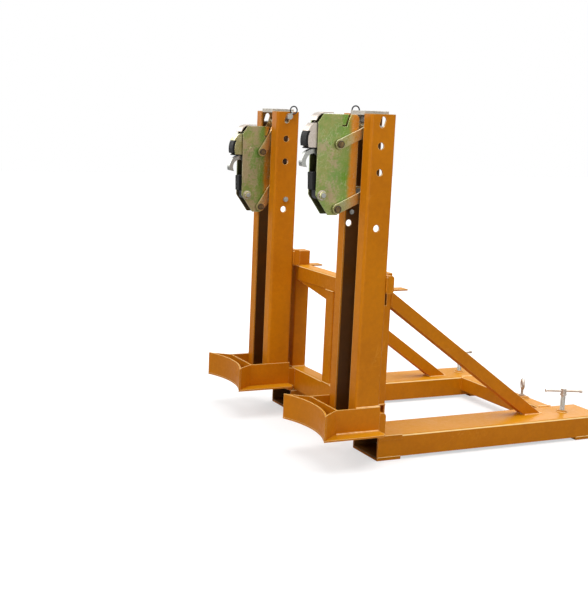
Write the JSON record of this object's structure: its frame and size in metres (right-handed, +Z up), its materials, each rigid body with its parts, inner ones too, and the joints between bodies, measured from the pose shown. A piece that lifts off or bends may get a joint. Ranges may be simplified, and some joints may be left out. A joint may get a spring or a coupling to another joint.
{
  "type": "forklift drum clamp",
  "caption": "Forklift attachment with fork pockets, upright posts and parallel-link clamp heads that grip the top rims of steel drums.",
  "frame": {"origin": "centre of the base of the bounding box, midway between the two posts and at the underside of the fork pocket straps", "axes": "+X towards the raised clamp head's post, +Y towards the truck, +Z up"},
  "size_m": [0.86, 1.1015, 1.0284],
  "materials": {
    "orange_paint": "semi-gloss orange paint",
    "yellow_zinc": "yellow passivated zinc",
    "bright_zinc": "bright zinc",
    "dark_steel": "blackened steel",
    "black_rubber": "matt rubber"
  },
  "bodies": {
    "frame": {"pocket_r": "orange_paint", "pocket_l": "orange_paint", "straps_front": "orange_paint", "straps_rear": "orange_paint", "rear_cross": "orange_paint", "low_beam": "orange_paint", "mid_beam": "orange_paint", "centre_post": "orange_paint", "rear_post_r": "orange_paint", "rear_post_l": "orange_paint", "brace_r": "orange_paint", "brace_l": "orange_paint", "spacers_low": "orange_paint", "spacers_up": "orange_paint", "post_r_outer": "orange_paint", "post_r_inner": "orange_paint", "post_l_inner": "orange_paint", "post_l_outer": "orange_paint", "lugs": "orange_paint", "floor_r": "orange_paint", "floor_l": "orange_paint", "cradle_r": "orange_paint", "cradle_l": "orange_paint", "panels_r": "orange_paint", "panels_l": "orange_paint", "cap_r": "yellow_zinc", "cap_l": "yellow_zinc", "post_pins": "bright_zinc", "stop_bolts": "bright_zinc", "bosses": "orange_paint", "eye_plate": "orange_paint", "eye_bolt": "bright_zinc"},
    "link_up_r": {"link_up_r": "yellow_zinc"},
    "link_low_r": {"link_low_r": "yellow_zinc"},
    "head_r": {"head_plates_r": "yellow_zinc", "head_cover_r": "yellow_zinc", "head_pins_r": "bright_zinc"},
    "upper_jaw_r": {"beak_r_body": "bright_zinc", "nose_r_body": "yellow_zinc", "nose_rubber_r": "black_rubber"},
    "lower_jaw_r": {"jaw_r": "dark_steel", "jaw_pad_r": "black_rubber"},
    "lock_pin_r": {"lock_pin_r": "bright_zinc"},
    "pull_ring_r": {"pull_ring_r": "dark_steel"},
    "screw_r": {"screw_r_body": "bright_zinc"},
    "bar_r": {"bar_r_body": "bright_zinc"},
    "link_up_l": {"link_up_l": "yellow_zinc"},
    "link_low_l": {"link_low_l": "yellow_zinc"},
    "head_l": {"head_plates_l": "yellow_zinc", "head_cover_l": "yellow_zinc", "head_pins_l": "bright_zinc"},
    "upper_jaw_l": {"beak_l_body": "bright_zinc", "nose_l_body": "yellow_zinc", "nose_rubber_l": "black_rubber"},
    "lower_jaw_l": {"jaw_l": "dark_steel", "jaw_pad_l": "black_rubber"},
    "lock_pin_l": {"lock_pin_l": "bright_zinc"},
    "pull_ring_l": {"pull_ring_l": "dark_steel"},
    "screw_l": {"screw_l_body": "bright_zinc"},
    "bar_l": {"bar_l_body": "bright_zinc"}
  },
  "joints": [
    {"name": "upper_link_r", "type": "hinge", "parent": "frame", "child": "link_up_r", "pos_m": [0.298, -0.34555, 0.9655], "axis": [1, 0, 0], "range_deg": [-15, 35]},
    {"name": "head_pivot_r", "type": "hinge", "parent": "link_up_r", "child": "head_r", "pos_m": [0.298, -0.44524, 0.91901], "axis": [1, 0, 0], "range_deg": [-35, 15]},
    {"name": "lower_link_r", "type": "hinge", "parent": "frame", "child": "link_low_r", "pos_m": [0.298, -0.34555, 0.7865], "axis": [1, 0, 0], "range_deg": [-15, 35]},
    {"name": "upper_jaw_pivot_r", "type": "hinge", "parent": "head_r", "child": "upper_jaw_r", "pos_m": [0.298, -0.48325, 0.927], "axis": [1, 0, 0], "range_deg": [-6, 3]},
    {"name": "lower_jaw_pivot_r", "type": "hinge", "parent": "head_r", "child": "lower_jaw_r", "pos_m": [0.298, -0.49225, 0.778], "axis": [1, 0, 0], "range_deg": [-8, 8]},
    {"name": "lock_slide_r", "type": "slide", "parent": "frame", "child": "lock_pin_r", "axis": [-1, 0, 0], "range_m": [0, 0.04]},
    {"name": "ring_hinge_r", "type": "hinge", "parent": "lock_pin_r", "child": "pull_ring_r", "pos_m": [0.209, -0.3371, 1.00261], "axis": [0, 0.9703, -0.2419], "range_deg": [-20, 20]},
    {"name": "screw_turn_r", "type": "hinge", "parent": "frame", "child": "screw_r", "pos_m": [0.289, 0.44675, 0.146], "axis": [0, 0, 1], "continuous": true},
    {"name": "bar_slide_r", "type": "slide", "parent": "screw_r", "child": "bar_r", "axis": [0.3746, 0.9272, 0], "range_m": [-0.04, 0.04]},
    {"name": "upper_link_l", "type": "hinge", "parent": "frame", "child": "link_up_l", "pos_m": [-0.298, -0.34555, 0.9655], "axis": [1, 0, 0], "range_deg": [-47.2, 2.8]},
    {"name": "head_pivot_l", "type": "hinge", "parent": "link_up_l", "child": "head_l", "pos_m": [-0.298, -0.40514, 0.87304], "axis": [1, 0, 0], "range_deg": [-2.8, 47.2]},
    {"name": "lower_link_l", "type": "hinge", "parent": "frame", "child": "link_low_l", "pos_m": [-0.298, -0.34555, 0.7865], "axis": [1, 0, 0], "range_deg": [-47.2, 2.8]},
    {"name": "upper_jaw_pivot_l", "type": "hinge", "parent": "head_l", "child": "upper_jaw_l", "pos_m": [-0.298, -0.44314, 0.88103], "axis": [1, 0, 0], "range_deg": [-6, 3]},
    {"name": "lower_jaw_pivot_l", "type": "hinge", "parent": "head_l", "child": "lower_jaw_l", "pos_m": [-0.298, -0.45214, 0.73203], "axis": [1, 0, 0], "range_deg": [-8, 8]},
    {"name": "lock_slide_l", "type": "slide", "parent": "frame", "child": "lock_pin_l", "axis": [1, 0, 0], "range_m": [0, 0.04]},
    {"name": "ring_hinge_l", "type": "hinge", "parent": "lock_pin_l", "child": "pull_ring_l", "pos_m": [-0.209, -0.33261, 1.00052], "axis": [0, 0.809, -0.5878], "range_deg": [-20, 20]},
    {"name": "screw_turn_l", "type": "hinge", "parent": "frame", "child": "screw_l", "pos_m": [-0.289, 0.44675, 0.146], "axis": [0, 0, 1], "continuous": true},
    {"name": "bar_slide_l", "type": "slide", "parent": "screw_l", "child": "bar_l", "axis": [-0.225, 0.9744, 0], "range_m": [-0.04, 0.04]}
  ],
  "couplings": [
    {"joint": "head_pivot_r", "follows": "upper_link_r", "ratio": -1},
    {"joint": "lower_link_r", "follows": "upper_link_r", "ratio": 1},
    {"joint": "head_pivot_l", "follows": "upper_link_l", "ratio": -1},
    {"joint": "lower_link_l", "follows": "upper_link_l", "ratio": 1}
  ]
}
